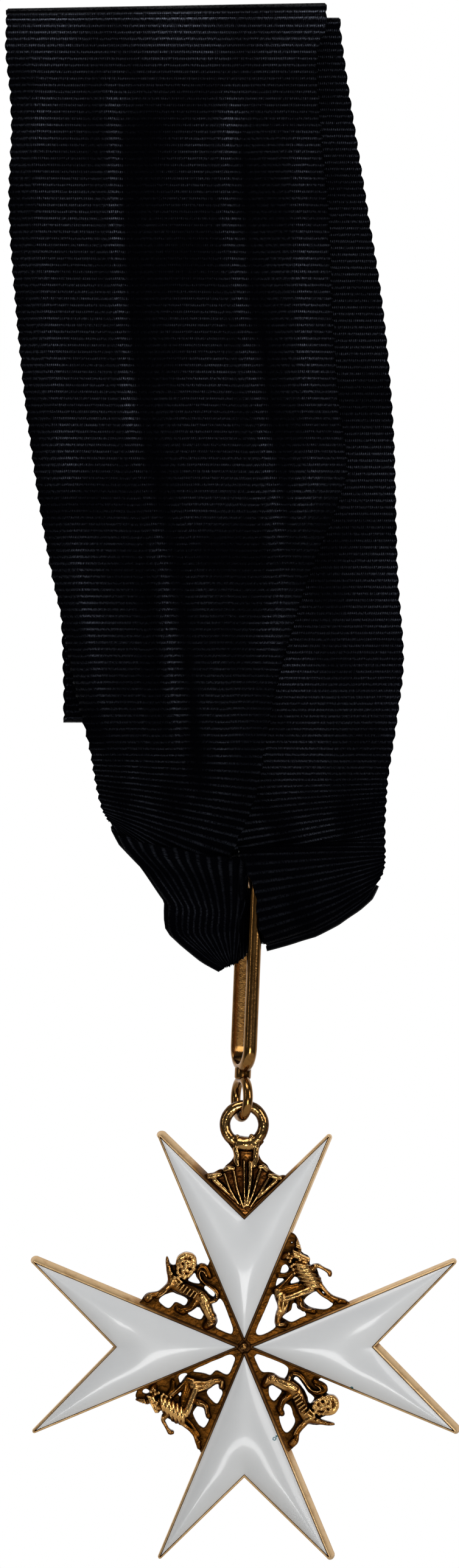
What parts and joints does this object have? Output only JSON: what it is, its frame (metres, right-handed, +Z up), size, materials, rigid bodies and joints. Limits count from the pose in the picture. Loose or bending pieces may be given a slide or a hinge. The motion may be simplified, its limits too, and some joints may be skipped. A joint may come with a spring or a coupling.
{
  "type": "order insignia",
  "caption": "White-enamelled cross with forked arms in gilt metal, lions and unicorns in its angles, hung by a long bail from a folded black ribbed neck ribbon.",
  "frame": {"origin": "underside of the ribbon's inner top fold at mid width, where a thin rod holds it", "axes": "+X to the viewer's right, -Y towards the viewer who sees the enamelled front, +Z up"},
  "size_m": [0.0712, 0.0091, 0.2452],
  "materials": {
    "gilt": "fire-gilt silver, worn bright on rims",
    "white_enamel": "polished vitreous enamel",
    "black_silk": "ribbed silk, nearly black"
  },
  "bodies": {
    "hanger": {"bail": "gilt", "ribbon": "black_silk"},
    "pendant": {"cross": "gilt", "enamel_top": "white_enamel", "enamel_right": "white_enamel", "enamel_bottom": "white_enamel", "enamel_left": "white_enamel"}
  },
  "joints": [
    {"name": "pendant_swing", "type": "hinge", "parent": "hanger", "child": "pendant", "pos_m": [0.0116, -0.00145, -0.17035], "axis": [1, 0, 0], "range_deg": [-135, 135]}
  ]
}
